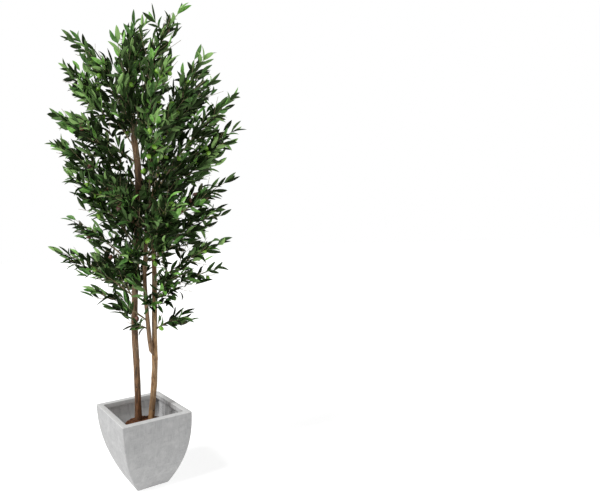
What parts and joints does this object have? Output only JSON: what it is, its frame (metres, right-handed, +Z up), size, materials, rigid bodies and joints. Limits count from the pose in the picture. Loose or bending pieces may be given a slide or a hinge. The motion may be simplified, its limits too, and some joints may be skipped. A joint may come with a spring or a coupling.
{
  "type": "artificial olive tree in a square planter",
  "caption": "Tall artificial olive tree: bare wooden stems with wired leaf sprays and a few fruits, standing in a square grey planter with bulging sides.",
  "frame": {"origin": "middle of the planter's flat underside, on the floor", "axes": "+Z up; the planter's four walls face along X and Y, and the tree is turned 25.3 degrees clockwise in it, seen from above"},
  "size_m": [0.9385, 0.8053, 2.1058],
  "materials": {
    "grey_fibre_concrete": "matte",
    "black_plastic": "matte",
    "rust_brown_coir": "matte",
    "bare_wood": "matte",
    "twig_brown": "matte",
    "leaf_green": "satin"
  },
  "bodies": {
    "root": {"bough_02": "twig_brown", "bough_03": "twig_brown", "bough_05": "twig_brown", "bough_08": "twig_brown", "bough_10": "twig_brown", "bough_11": "twig_brown", "bough_13": "twig_brown", "bough_14": "twig_brown", "bough_15": "twig_brown", "bough_16": "twig_brown", "bough_17": "twig_brown", "bough_24": "twig_brown", "bough_26": "twig_brown", "bough_27": "twig_brown", "bough_28": "twig_brown", "bough_29": "twig_brown", "bough_34": "twig_brown", "foliage_01": "leaf_green", "foliage_02": "leaf_green", "foliage_03": "leaf_green", "foliage_04": "leaf_green", "foliage_05": "leaf_green", "foliage_06": "leaf_green", "foliage_07": "leaf_green", "foliage_08": "leaf_green", "foliage_09": "leaf_green", "foliage_10": "leaf_green", "foliage_11": "leaf_green", "foliage_12": "leaf_green", "foliage_13": "leaf_green", "foliage_14": "leaf_green", "foliage_15": "leaf_green", "foliage_16": "leaf_green", "foliage_17": "leaf_green", "foliage_18": "leaf_green", "foliage_19": "leaf_green", "foliage_20": "leaf_green", "foliage_21": "leaf_green", "foliage_22": "leaf_green", "foliage_23": "leaf_green", "foliage_24": "leaf_green", "foliage_25": "leaf_green", "foliage_26": "leaf_green", "foliage_27": "leaf_green", "foliage_28": "leaf_green", "foliage_29": "leaf_green", "foliage_30": "leaf_green", "foliage_31": "leaf_green", "foliage_32": "leaf_green", "foliage_33": "leaf_green", "foliage_34": "leaf_green", "inner_pot": "black_plastic", "mulch": "rust_brown_coir", "planter": "grey_fibre_concrete", "trunk_left": "bare_wood", "trunk_middle": "bare_wood", "trunk_right": "bare_wood"}
  },
  "joints": []
}
